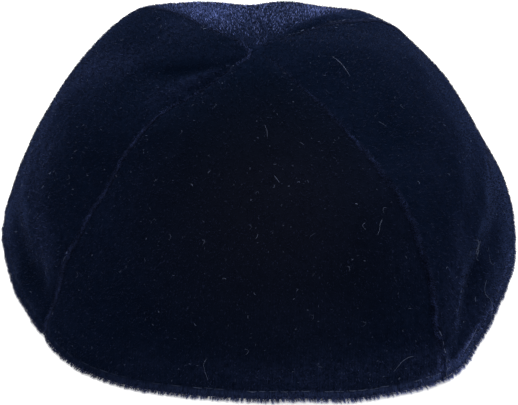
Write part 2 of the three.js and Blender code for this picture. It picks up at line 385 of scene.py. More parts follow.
@dataclass(frozen=True)
class CapForm:
    """The cap's outer form, in millimetres about the middle of the rim and degrees of climb.

    The cloth strays with its seams in full where the gore is as wide as free_girth and the climb is
    free_climb or more, and less near the crown and the rim.
    """

    crown_height: float = 70.6
    lean: tuple[float, float] = (-0.6, -6.4)
    middle: tuple[float, float] = (-0.15, -1.0)
    pile_depth: float = 0.45
    cloth: float = 1.3
    seam_reach: float = 1.4
    seam_roll_fade: float = 35.0
    least_seam_roll: float = 0.15
    stitch_height: float = 3.1
    stitch_groove: float = 0.32
    groove_width: float = 0.75
    rim_puff: float = 0.55
    puff_height: float = 2.2
    hem_fold: float = 1.35
    hem_foot: float = 0.08
    lump: float = 0.12
    lump_middle: float = 0.6
    pucker: float = 0.07
    seam_pucker_reach: float = 5.0
    rim_pucker_reach: float = 4.0
    kink: float = 0.8
    kink_climb: float = 20.8
    kink_reach: float = 6.0
    stray_reach: float = 5.0
    stray_phase: float = 1.7
    free_girth: float = 25.0
    free_climb: float = 6.0

    def radius_up(self, radii: tuple[float, ...], climb: np.ndarray) -> np.ndarray:
        """Outer radius up one seam or gore: a Catmull-Rom curve through evenly spaced knots.

        Args:
            radii: the radii at climbs of 0, 18, 36, 54 and 72.
            climb: degrees.

        Returns:
            The radius at each climb, in millimetres.
        """
        knots = np.array([2 * radii[0] - radii[1], *radii, self.crown_height, radii[-1]])
        place = np.clip(climb / KNOT_CLIMB, 0.0, len(radii) - 1e-9)
        span = np.floor(place).astype(int)
        t = place - span
        a, b, c, d = (knots[span + k] for k in range(4))
        return b + 0.5 * t * (c - a + t * (2 * a - 5 * b + 4 * c - d + t * (3 * (b - c) + d - a)))

    def spots(self, table: tuple[Spot, ...], azimuth: np.ndarray,
              climb: np.ndarray) -> np.ndarray:
        """Sum of a table's spots, each its amount times exp(-(along/a)^2 - (across/b)^2).

        Args:
            table: the spots.
            azimuth: degrees.
            climb: degrees.

        Returns:
            The amount at each place.
        """
        total = np.zeros(np.broadcast(azimuth, climb).shape)
        for spot in table:
            turn = math.radians(spot.turn)
            level = (azimuth - spot.azimuth + 180.0) % 360.0 - 180.0
            rise = climb - spot.climb
            along = (level * math.cos(turn) + rise * math.sin(turn)) / spot.along
            across = (rise * math.cos(turn) - level * math.sin(turn)) / spot.across
            total += spot.amount * np.exp(-along**2 - across**2)
        return total

    def spread(self, gore: GoreCut) -> tuple[float, float]:
        """A gore's half width and middle azimuth, in degrees."""
        first, second = SEAMS[gore.first].azimuth, SEAMS[gore.second].azimuth
        half = ((second - first) % 360.0) / 2
        return half, first + half

    def azimuth(self, gore: GoreCut, across: np.ndarray) -> np.ndarray:
        """The azimuths in degrees of places across a gore."""
        half, middle = self.spread(gore)
        return middle + half * across

    def across_at(self, gore: GoreCut, azimuth: np.ndarray) -> np.ndarray:
        """The places across a gore that lie at some azimuths in degrees."""
        half, middle = self.spread(gore)
        return ((azimuth - middle + 180.0) % 360.0 - 180.0) / half

    def half_girth(self, gore: GoreCut, climb: np.ndarray | float = 0.0,
                   radius: np.ndarray | float = USUAL_RADIUS) -> np.ndarray:
        """Millimetres along the cloth from a gore's middle to a seam, at a climb in degrees."""
        half, _ = self.spread(gore)
        return math.radians(half) * radius * np.cos(np.radians(climb))

    def from_seam(self, gore: GoreCut, across: np.ndarray, climb: np.ndarray | float,
                  radius: np.ndarray) -> np.ndarray:
        """Millimetres along the cloth from places on a gore to the nearer seam."""
        return (1 - np.abs(across)) * self.half_girth(gore, climb, radius)

    def radius(self, gore: GoreCut, across: np.ndarray, climb: np.ndarray) -> np.ndarray:
        """Outer radius on a gore: a parabola across it from seam to seam, plus the folds.

        Args:
            gore: the gore.
            across: -1 to 1.
            climb: degrees.

        Returns:
            The radius in millimetres.
        """
        first = self.radius_up(SEAMS[gore.first].radii, climb)
        second = self.radius_up(SEAMS[gore.second].radii, climb)
        centre = self.radius_up(gore.radii, climb)
        mean = (first + second) / 2
        bulge = centre + (second - first) / 2 * across + (mean - centre) * across**2
        return bulge + self.spots(FOLDS, self.azimuth(gore, across), climb)

    def nap(self, gore: GoreCut, across: np.ndarray, climb: np.ndarray) -> np.ndarray:
        """How far places on a gore are painted paler or darker: the nap, with painted highlights
        and painted shade.
        """
        return self.spots(NAP_AND_PAINTED_LIGHT[gore.name], self.azimuth(gore, across), climb)

    def wander(self, gore: GoreCut, across: np.ndarray, climb: np.ndarray) -> np.ndarray:
        """How far the cloth beside a seam strays sideways with it, in millimetres.

        A seam strays as a sum of sines up it, and where it was caught it steps aside as a tanh
        inside a Gaussian. The cloth follows by exp(-(distance/reach)^2).

        Args:
            gore: the gore.
            across: -1 to 1.
            climb: degrees.

        Returns:
            Millimetres towards greater azimuth.
        """
        up = USUAL_RADIUS * np.radians(climb)
        girth = self.half_girth(gore, climb)
        taper = np.clip(girth / self.free_girth, 0, 1) * np.clip(climb / self.free_climb, 0, 1)
        total = np.zeros(np.broadcast(across, climb).shape)
        for seam, side in ((gore.first, -1), (gore.second, 1)):
            stray = rippled(SEAM_STRAYS, up, self.stray_phase * seam.value)
            if seam is Seam.FRONT_LEFT:
                step = climb - self.kink_climb
                stray = stray + self.kink * np.tanh(step) * np.exp(-((step / self.kink_reach) ** 2))
            away = (1 - side * across) * girth / self.stray_reach
            total = total + stray * taper * np.exp(-(away**2))
        return total

    def relief(self, gore: GoreCut, across: np.ndarray, climb: np.ndarray) -> np.ndarray:
        """How far the velvet's face lies under the outer form, in millimetres.

        The cloth rolls into each seam as exp(-(distance/reach)^1.5), is drawn in along the rim's
        stitches by a Gaussian groove over the Gaussian puff of the hem, puckers beside both, and
        has slow lumps from a sum of sines.

        Args:
            gore: the gore.
            across: -1 to 1.
            climb: degrees.

        Returns:
            The depth of the pile's roots.
        """
        radius = self.radius(gore, across, climb)
        azimuth = np.radians(self.azimuth(gore, across))
        rise = np.radians(climb)
        height = radius * np.sin(rise)
        over_stitches = height - self.stitch_height
        from_seam = self.from_seam(gore, across, climb, radius)
        roll = np.where(across < 0, SEAMS[gore.first].roll, SEAMS[gore.second].roll)
        roll = roll * np.exp(-((from_seam / self.seam_reach) ** 1.5))
        roll *= np.clip((90 - climb) / self.seam_roll_fade, self.least_seam_roll, 1.0)
        groove = self.stitch_groove * np.exp(-((over_stitches / self.groove_width) ** 2))
        puff = self.rim_puff * np.exp(-((height / self.puff_height) ** 2))
        beside_seam = rippled(SEAM_PUCKERS, radius * rise, np.sign(across))
        beside_seam *= np.exp(-from_seam / self.seam_pucker_reach)
        beside_rim = rippled(RIM_PUCKERS, azimuth * radius)
        beside_rim *= np.exp(-((over_stitches / self.rim_pucker_reach) ** 2))
        x = radius * np.cos(rise) * np.sin(azimuth)
        y = radius * np.cos(rise) * np.cos(azimuth)
        lumps = sum(wave.amount * np.sin(wave.rate_x * x + wave.rate_y * y
                                         + wave.rate_z * height + wave.phase) for wave in LUMPS)
        return (
            self.pile_depth
            - self.spots(CREASES, np.degrees(azimuth), climb)
            + roll
            + groove
            - puff
            + self.pucker * (beside_seam + beside_rim)
            + self.lump * (lumps + self.lump_middle)
        )

    def place(self, gore: GoreCut, across: np.ndarray, climb: np.ndarray,
              depth: np.ndarray) -> np.ndarray:
        """Where a place on a gore is, at a depth under the outer form.

        The radius is laid out at its azimuth and climb, and the lean moves it by the square of the
        climb's sine, so the rim stays level.

        Args:
            gore: the gore.
            across: -1 to 1.
            climb: degrees.
            depth: millimetres.

        Returns:
            Points in metres in the part's frame, with x, y, z last.
        """
        radius = self.radius(gore, across, climb) - depth
        rise = np.radians(climb)
        level = radius * np.cos(rise)
        aside = self.wander(gore, across, climb) / np.maximum(level, 1.0)
        azimuth = np.radians(self.azimuth(gore, across)) + aside
        lean = np.sin(rise) ** 2
        x = level * np.sin(azimuth) + lean * self.lean[0] - self.middle[0]
        y = -level * np.cos(azimuth) + lean * self.lean[1] - self.middle[1]
        return np.stack([x, y, radius * np.sin(rise)], axis=-1) * MM

    def frames(self, gore: GoreCut, across: np.ndarray,
               climb: np.ndarray) -> tuple[np.ndarray, np.ndarray, np.ndarray, np.ndarray]:
        """The velvet's face at places on a gore, from central differences of its points.

        Args:
            gore: the gore.
            across: -1 to 1.
            climb: degrees.

        Returns:
            Points in metres, and the unit directions out of the face, up it and along the rim.
        """
        def face(a: np.ndarray, c: np.ndarray) -> np.ndarray:
            """A point of the velvet's face."""
            return self.place(gore, a, c, self.relief(gore, a, c))

        point = face(across, climb)
        level = unit(face(np.minimum(across + 0.004, 1), climb)
                     - face(np.maximum(across - 0.004, -1), climb))
        up = unit(face(across, np.minimum(climb + 0.25, 90)) - face(across, climb - 0.25))
        out = unit(np.cross(level, up))
        return point, out, up, level


def spikes(roots: np.ndarray, aims: np.ndarray, lengths: np.ndarray, radii: np.ndarray,
           bends: np.ndarray, steps: int = 1) -> tuple[np.ndarray, list]:
    """Closed three-sided hairs that taper to a point and bend as the square of their length.

    A point of a hair is root + aim * length * t + bend * t^2, and its radius falls as 1 - t^1.6.

    Args:
        roots: where each hair starts, in metres.
        aims: unit directions at the roots.
        lengths: metres.
        radii: metres at the root.
        bends: how far each tip is carried aside, in metres.
        steps: stretches along a hair.

    Returns:
        The vertices and the faces.
    """
    count = len(roots)
    ref = np.where(np.abs(aims[:, 2:]) < 0.9, [[0.0, 0.0, 1.0]], [[1.0, 0.0, 0.0]])
    side = unit(np.cross(aims, ref))
    fore = np.cross(aims, side)
    t = np.arange(steps) / steps
    line = (roots[:, None] + aims[:, None] * lengths[:, None, None] * t[None, :, None]
            + bends[:, None] * t[None, :, None] ** 2)
    turn = np.arange(3) * math.tau / 3
    ring = side[:, None] * np.cos(turn)[:, None] + fore[:, None] * np.sin(turn)[:, None]
    thick = radii[:, None] * (1 - t[None, :] ** 1.6)
    body = line[:, :, None] + ring[:, None] * thick[:, :, None, None]
    tips = roots + aims * lengths[:, None] + bends
    vertices = np.concatenate([body.reshape(count, -1, 3), tips[:, None]], axis=1)
    size = 3 * steps + 1
    base = (np.arange(count) * size)[:, None, None]
    around = np.array([[k, (k + 1) % 3] for k in range(3)])
    last = 3 * (steps - 1)
    threes = np.concatenate([
        np.column_stack([around + last, np.full(3, size - 1)]),
        [[2, 1, 0]],
    ])
    faces = (base + threes[None]).reshape(-1, 3).tolist()
    if steps > 1:
        rows = np.arange(steps - 1)[:, None] * 3
        quads = np.stack([rows + around[:, 0], rows + around[:, 1],
                          rows + around[:, 1] + 3, rows + around[:, 0] + 3], axis=-1)
        faces += (base + quads.reshape(1, -1, 4)).reshape(-1, 4).tolist()
    return vertices.reshape(-1, 3), faces


def tubes(lines: np.ndarray, radii: np.ndarray, ups: np.ndarray,
          sides: int = 4) -> tuple[np.ndarray, list]:
    """Closed round strands along many lines: a ring square to the line at each of its points.

    Args:
        lines: the points of each strand, in metres.
        radii: the radius at each point, in metres.
        ups: a direction for each strand that it doesn't run along.
        sides: points in a ring.

    Returns:
        The vertices and the faces.
    """
    count, steps, _ = lines.shape
    run = unit(np.gradient(lines, axis=1))
    side = unit(np.cross(run, ups[:, None]))
    fore = np.cross(side, run)
    turn = np.arange(sides) * math.tau / sides
    ring = (side[:, :, None] * np.cos(turn)[:, None] + fore[:, :, None] * np.sin(turn)[:, None])
    vertices = lines[:, :, None] + ring * radii[:, :, None, None]
    base = (np.arange(count) * steps * sides)[:, None, None]
    rows = (np.arange(steps - 1) * sides)[:, None]
    k = np.arange(sides)[None, :]
    n = (k + 1) % sides
    quads = np.stack([rows + k, rows + k + sides, rows + n + sides, rows + n], axis=-1)
    faces = (base + quads.reshape(1, -1, 4)).reshape(-1, 4).tolist()
    ends = np.array([np.arange(sides), np.arange(sides)[::-1] + (steps - 1) * sides])
    faces += (base + ends[None]).reshape(-1, sides).tolist()
    return vertices.reshape(-1, 3), faces


def new_piece(name: str, vertices: np.ndarray, faces: list,
              materials: list[bpy.types.Material], slots: np.ndarray | None = None,
              uv: np.ndarray | None = None, **shades: np.ndarray) -> bpy.types.Object:
    """Puts arrays into a mesh object that rides on the cap.

    Args:
        name: the object's name.
        vertices: points in metres.
        faces: vertex indices of each face.
        materials: the mesh's material slots.
        slots: the slot of each face.
        uv: a place on the cloth for each vertex, in metres.
        shades: named values for each vertex, which the materials read.

    Returns:
        The object, linked to the scene.
    """
    mesh = bpy.data.meshes.new(name)
    mesh.from_pydata(vertices.reshape(-1, 3), [], faces)
    for material in materials:
        mesh.materials.append(material)
    if slots is not None:
        mesh.polygons.foreach_set("material_index", slots.astype(np.int32))
    mesh.polygons.foreach_set("use_smooth", np.ones(len(mesh.polygons), dtype=bool))
    if uv is not None:
        corner = np.empty(len(mesh.loops), dtype=np.int32)
        mesh.loops.foreach_get("vertex_index", corner)
        layer = mesh.uv_layers.new(name="cloth")
        layer.data.foreach_set("uv", uv[corner].astype(np.float32).ravel())
    for label, values in shades.items():
        shade = mesh.attributes.new(label, "FLOAT", "POINT")
        shade.data.foreach_set("value", values.astype(np.float32))
    mesh.validate()
    mesh.update()
    piece = bpy.data.objects.new(name, mesh)
    bpy.context.collection.objects.link(piece)
    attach(piece, "root")
    log.info("%s: %d faces", name, len(mesh.polygons))
    return piece


def plant(name: str, material: bpy.types.Material, hairs: tuple[np.ndarray, list],
          tips: np.ndarray, steps: int = 1, root: float = 0.3) -> bpy.types.Object:
    """Puts spikes into a piece, shaded evenly from a darker root to the tip: the darker roots are
    painted shade deep in the pile.

    Args:
        name: the piece's name.
        material: the hairs' finish.
        hairs: the vertices and the faces.
        tips: the shade at each hair's tip.
        steps: stretches along a hair.
        root: the share of the tip's shade at the root, painted shade deep in the pile.

    Returns:
        The piece.
    """
    along = np.append(np.repeat(np.arange(steps) / steps, 3), 1.0)
    tone = (tips[:, None] * (root + (1 - root) * along)).ravel()
    return new_piece(name, *hairs, [material], tone=tone)


@dataclass
class Strands:
    """Strands gathered run by run, to be made into one piece."""

    lines: list[np.ndarray] = field(default_factory=list)
    ups: list[np.ndarray] = field(default_factory=list)
    tones: list[np.ndarray] = field(default_factory=list)

    def add(self, lines: np.ndarray, ups: np.ndarray, tones: np.ndarray) -> None:
        """Gathers more strands, with a way out of the cloth and a shade for each."""
        self.lines.append(lines)
        self.ups.append(ups)
        self.tones.append(tones)

    def piece(self, name: str, material: bpy.types.Material, radius: float | np.ndarray,
              sides: int, ends: float = 1.0) -> bpy.types.Object:
        """Makes the strands into closed tubes.

        Args:
            name: the piece's name.
            material: its finish.
            radius: the radius of all the strands or of each, in millimetres.
            sides: points in a ring.
            ends: the share of the radius that both ends have.

        Returns:
            The piece.
        """
        lines = np.concatenate(self.lines)
        radii = np.ones(lines.shape[:2]) * np.reshape(radius, (-1, 1)) * MM
        radii[:, [0, -1]] *= ends
        vertices, faces = tubes(lines, radii, np.concatenate(self.ups), sides)
        tones = np.repeat(np.concatenate(self.tones), lines.shape[1] * sides)
        return new_piece(name, vertices, faces, [material], tone=tones)


class NodeSheet:
    """A node tree being laid out, for a material or for a group."""

    def __init__(self, tree: bpy.types.NodeTree) -> None:
        """Keeps the tree that the nodes go into."""
        self.tree = tree

    def add(self, kind: str, values: dict | None = None, **settings: object) -> bpy.types.Node:
        """Adds a node.

        Args:
            kind: the node's type.
            values: the value or the socket that goes into each named or numbered input.
            settings: the node's own properties.

        Returns:
            The node.
        """
        node = self.tree.nodes.new(kind)
        for key, value in settings.items():
            setattr(node, key, value)
        for key, value in (values or {}).items():
            if isinstance(value, bpy.types.NodeSocket):
                self.tree.links.new(value, node.inputs[key])
            else:
                node.inputs[key].default_value = value
        return node

    def math(self, operation: str, *values: object) -> bpy.types.NodeSocket:
        """An operation of the Math node on some values."""
        node = self.add("ShaderNodeMath", dict(enumerate(values)), operation=operation)
        return node.outputs[0]

    def times(self, first: object, second: object) -> bpy.types.NodeSocket:
        """One value times another."""
        return self.math("MULTIPLY", first, second)

    def blend(self, factor: object, first: tuple | bpy.types.NodeSocket,
              second: tuple) -> bpy.types.NodeSocket:
        """A colour between two, by a factor. A colour is a socket or its red, green and blue."""
        start = (*first, 1) if isinstance(first, tuple) else first
        node = self.add("ShaderNodeMix", {0: factor, 6: start, 7: (*second, 1)}, data_type="RGBA")
        return node.outputs[2]

    def span(self, value: object, low: float, high: float, to_low: float = 0.0,
             to_high: float = 1.0) -> bpy.types.NodeSocket:
        """A value stretched from one span to another and kept inside it."""
        node = self.add("ShaderNodeMapRange",
                        {0: value, 1: low, 2: high, 3: to_low, 4: to_high}, clamp=True)
        return node.outputs[0]

    def noise(self, place: bpy.types.NodeSocket, scale: object,
              **values: float) -> bpy.types.NodeSocket:
        """Noise over places, with the Noise node's other values by name."""
        node = self.add("ShaderNodeTexNoise", {"Vector": place, "Scale": scale, **values})
        return node.outputs[0]

    def part(self, vector: bpy.types.NodeSocket, axis: int) -> bpy.types.NodeSocket:
        """One part of a vector, by its number."""
        return self.add("ShaderNodeSeparateXYZ", {0: vector}).outputs[axis]

    def place(self) -> bpy.types.NodeSocket:
        """The place in the part's frame."""
        return self.add("ShaderNodeTexCoord").outputs["Object"]

    def cloth(self) -> bpy.types.NodeSocket:
        """The place along the cloth and up it."""
        return self.add("ShaderNodeUVMap", uv_map="cloth").outputs[0]

    def shade(self, label: str) -> bpy.types.NodeSocket:
        """A named shade of the mesh."""
        return self.add("ShaderNodeAttribute", attribute_name=label).outputs["Fac"]

    def bump(self, height: bpy.types.NodeSocket, strength: float,
             distance: float) -> bpy.types.NodeSocket:
        """The direction out of a surface with a bump."""
        return self.add("ShaderNodeBump", {"Height": height, "Strength": strength,
                                           "Distance": distance}).outputs[0]

    def surface(self, colour: object, roughness: float, specular: float,
                **values: object) -> None:
        """Adds the Principled surface and the output.

        Args:
            colour: the base colour.
            roughness: 0 to 1.
            specular: 0 to 1.
            values: the surface's other values, with low lines for the spaces in their names.
        """
        named = {label.replace("_", " "): value for label, value in values.items()}
        node = self.add("ShaderNodeBsdfPrincipled", {
            "Base Color": colour, "Roughness": roughness, "Specular IOR Level": specular, **named})
        self.add("ShaderNodeOutputMaterial", {"Surface": node.outputs[0]})


def new_group(name: str, inputs: dict[str, object],
              outputs: tuple[str, ...]) -> tuple[NodeSheet, bpy.types.NodeInputs]:
    """Starts a shader node group.

    Args:
        name: the group's name.
        inputs: the start value of each input, a number or a vector.
        outputs: the names of the outputs, all numbers.

    Returns:
        The sheet and the sockets that carry what the group is given.
    """
    tree = bpy.data.node_groups.new(name, "ShaderNodeTree")
    for label, start in inputs.items():
        kind = "NodeSocketVector" if isinstance(start, tuple) else "NodeSocketFloat"
        socket = tree.interface.new_socket(label, in_out="INPUT", socket_type=kind)
        socket.default_value = start
    for label in outputs:
        tree.interface.new_socket(label, in_out="OUTPUT", socket_type="NodeSocketFloat")
    sheet = NodeSheet(tree)
    return sheet, sheet.add("NodeGroupInput").outputs


@cache
def pile_grain() -> bpy.types.NodeTree:
    """The cut pile: tufts as fine noise over clumps, brushed patches as slow noise, and the rows
    that it was woven in as a sine across the cloth.

    Returns:
        The group, with a tuft mask, a patch mask, a row mask and a height.
    """
    sheet, given = new_group(
        "pile_grain",
        {"Place": (0.0, 0.0, 0.0), "Cloth": (0.0, 0.0, 0.0), "Tufts": 2600.0, "Clumps": 620.0,
         "Patches": 34.0, "Rows": 1150.0},
        ("Tuft", "Patch", "Row", "Height"),
    )
    tuft = sheet.noise(given["Place"], given["Tufts"], Detail=1.0, Roughness=0.6)
    clump = sheet.noise(given["Place"], given["Clumps"], Detail=3.0, Roughness=0.65)
    patch = sheet.noise(given["Place"], given["Patches"], Detail=2.5, Roughness=0.55,
                        Distortion=0.6)
    height = sheet.math("ADD", sheet.times(tuft, 0.45), sheet.times(clump, 0.55))
    turns = sheet.times(sheet.times(sheet.part(given["Cloth"], 0), given["Rows"]), math.tau)
    sheet.add("NodeGroupOutput", {
        "Tuft": sheet.span(height, 0.36, 0.66),
        "Patch": sheet.span(patch, 0.3, 0.7),
        "Row": sheet.span(sheet.math("SINE", turns), -1.0, 1.0),
        "Height": height,
    })
    return sheet.tree


@cache
def twill_weave() -> bpy.types.NodeTree:
    """A diagonal weave: ribs as a wave across both threads, broken by a finer crossing wave.

    Returns:
        The group, with a thread mask and a height.
    """
    sheet, given = new_group("twill_weave", {"Place": (0.0, 0.0, 0.0), "Threads": 1500.0},
                             ("Thread", "Height"))
    across, along = (sheet.times(sheet.part(given["Place"], axis), given["Threads"])
                     for axis in range(2))
    rib = sheet.math("SINE", sheet.times(sheet.math("ADD", across, along), math.pi))
    cross = sheet.math("SINE", sheet.times(sheet.math("SUBTRACT", along, across), math.tau))
    height = sheet.span(sheet.math("ADD", rib, sheet.times(cross, 0.5)), -1.5, 1.5)
    sheet.add("NodeGroupOutput", {"Thread": sheet.math("POWER", height, 1.5), "Height": height})
    return sheet.tree


def new_material(name: str) -> tuple[bpy.types.Material, NodeSheet]:
    """A material and its empty sheet."""
    material = bpy.data.materials.new(name)
    material.use_nodes = True
    material.node_tree.nodes.clear()
    return material, NodeSheet(material.node_tree)


@dataclass(frozen=True)
class VelvetFinish:
    """Navy cotton velvet: near black where it is looked into, pale where it is looked along.

    The first vertex shade says where the pile is brushed up and where highlights and shade are
    painted into the colour, and the second how much painted highlight the cloth under the rim's
    stitches gets.
    """

    name: str
    deep: tuple[float, float, float] = (0.0012, 0.0030, 0.0084)
    raised_and_highlight: tuple[float, float, float] = (0.0600, 0.0840, 0.2300)
    # The colour of the painted highlight along the hem.
    rim_highlight_colour: tuple[float, float, float] = (0.0360, 0.0540, 0.1400)
    # A greyer colour for a patch at the front's middle.
    patch_grey: tuple[float, float, float] = (0.0060, 0.0061, 0.0096)
    nap_share: float = 1.0
    grey_patch: float = 0.0
    grey_patch_middle: tuple[float, float, float] = (0.004, -0.062, 0.050)
    grey_patch_reach: float = 0.050
    rim_edge: tuple[float, float] = (0.0025, 0.0034)
    sheen: float = 0.14
    sheen_tint: tuple[float, float, float] = (0.24, 0.37, 1.0)
    sheen_roughness: float = 0.26
    tuft_height: float = 0.0004

    def rim_highlight_mask(self, sheet: NodeSheet, cloth: bpy.types.NodeSocket) -> bpy.types.NodeSocket:
        """Where the rim gets its painted highlight: under the stitches, in streaks that run down to
        the edge.
        """
        under = sheet.span(sheet.part(cloth, 1), *self.rim_edge, 1.0, 0.0)
        stretched = sheet.add("ShaderNodeMapping", {"Vector": cloth,
                                                    "Scale": (2400.0, 260.0, 1.0)})
        streaks = sheet.span(sheet.noise(stretched.outputs[0], 1.0, Detail=2.0), 0.35, 0.65,
                             0.25, 1.0)
        return sheet.times(sheet.times(under, sheet.shade("wear")), streaks)

    def grey_patch_mask(self, sheet: NodeSheet, place: bpy.types.NodeSocket) -> bpy.types.NodeSocket:
        """Where the colour turns greyer: it falls away with the distance from the patch's middle.
        """
        away = sheet.add("ShaderNodeVectorMath", {0: place, 1: self.grey_patch_middle},
                         operation="DISTANCE")
        return sheet.span(away.outputs["Value"], 0.2 * self.grey_patch_reach, self.grey_patch_reach,
                          self.grey_patch, 0.0)

    def material(self) -> bpy.types.Material:
        """Builds the material: nap with painted highlights and shade, tufts, patches and rows in
        the colour, tufts in the bump.
        """
        material, sheet = new_material(self.name)
        place, cloth = sheet.place(), sheet.cloth()
        grain = sheet.add("ShaderNodeGroup", node_tree=pile_grain())
        sheet.tree.links.new(place, grain.inputs["Place"])
        sheet.tree.links.new(cloth, grain.inputs["Cloth"])
        # Painted highlights and shade: the vertex shade lifts the colour from deep navy towards
        # pale blue.
        brushed_and_lit = sheet.math("ADD", sheet.times(sheet.shade("nap"), self.nap_share),
                             sheet.span(grain.outputs["Patch"], 0, 1, 0.007, 0.027))
        tufted = sheet.times(brushed_and_lit, sheet.span(grain.outputs["Tuft"], 0, 1, 0.2, 1.8))
        ribbed = sheet.times(tufted, sheet.span(grain.outputs["Row"], 0, 1, 0.8, 1.2))
        colour = sheet.blend(sheet.span(ribbed, 0, 1), self.deep, self.raised_and_highlight)
        colour = sheet.blend(self.grey_patch_mask(sheet, place), colour, self.patch_grey)
        # Painted highlight along the hem, under the stitches.
        colour = sheet.blend(self.rim_highlight_mask(sheet, cloth), colour, self.rim_highlight_colour)
        sheet.surface(colour, 0.95, 0.0, Sheen_Weight=self.sheen,
                      Sheen_Roughness=self.sheen_roughness, Sheen_Tint=(*self.sheen_tint, 1),
                      Normal=sheet.bump(grain.outputs["Height"], 0.8, self.tuft_height))
        return material


@dataclass(frozen=True)
class BackingFinish:
    """The velvet's woven back: flat black-navy twill."""

    name: str = "woven_backing"
    dark: tuple[float, float, float] = (0.0045, 0.0060, 0.0120)
    light: tuple[float, float, float] = (0.0140, 0.0180, 0.0330)

    def material(self) -> bpy.types.Material:
        """Builds the material: twill ribs in colour and bump, with slow fading."""
        material, sheet = new_material(self.name)
        place = sheet.cloth()
        weave = sheet.add("ShaderNodeGroup", node_tree=twill_weave())
        sheet.tree.links.new(place, weave.inputs["Place"])
        fade = sheet.span(sheet.noise(place, 60.0, Detail=3.0), 0.3, 0.7, 0.6, 1.0)
        colour = sheet.blend(sheet.times(weave.outputs["Thread"], fade), self.dark, self.light)
        sheet.surface(colour, 0.9, 0.1, Normal=sheet.bump(weave.outputs["Height"], 0.6, 0.0002))
        return material


@dataclass(frozen=True)
class StrandFinish:
    """Loose or standing strands, whose shade runs from dark to light by the mesh's tone."""

    name: str
    dark: tuple[float, float, float]
    light: tuple[float, float, float]
    sheen: float = 0.0
    sheen_tint: tuple[float, float, float] = (0.30, 0.40, 1.0)
    flecks: float = 900.0

    def material(self) -> bpy.types.Material:
        """Builds the material: the tone picks the colour, and fine flecks break it up."""
        material, sheet = new_material(self.name)
        fleck = sheet.span(sheet.noise(sheet.place(), self.flecks), 0.3, 0.7, 0.7, 1.0)
        colour = sheet.blend(sheet.times(sheet.shade("tone"), fleck), self.dark, self.light)
        sheet.surface(colour, 0.85, 0.05, Sheen_Weight=self.sheen, Sheen_Roughness=0.4,
                      Sheen_Tint=(*self.sheen_tint, 1))
        return material


@dataclass(frozen=True)
class FloorFinish:
    """The pale tabletop."""

    name: str = "pale_floor"
    colour: tuple[float, float, float] = (0.92, 0.92, 0.92)
    glow: float = 0.35

    def material(self) -> bpy.types.Material:
        """Builds the plain material."""
        material, sheet = new_material(self.name)
        sheet.surface((*self.colour, 1), 0.9, 0.1, Emission_Color=(1, 1, 1, 1),
                      Emission_Strength=self.glow)
        return material


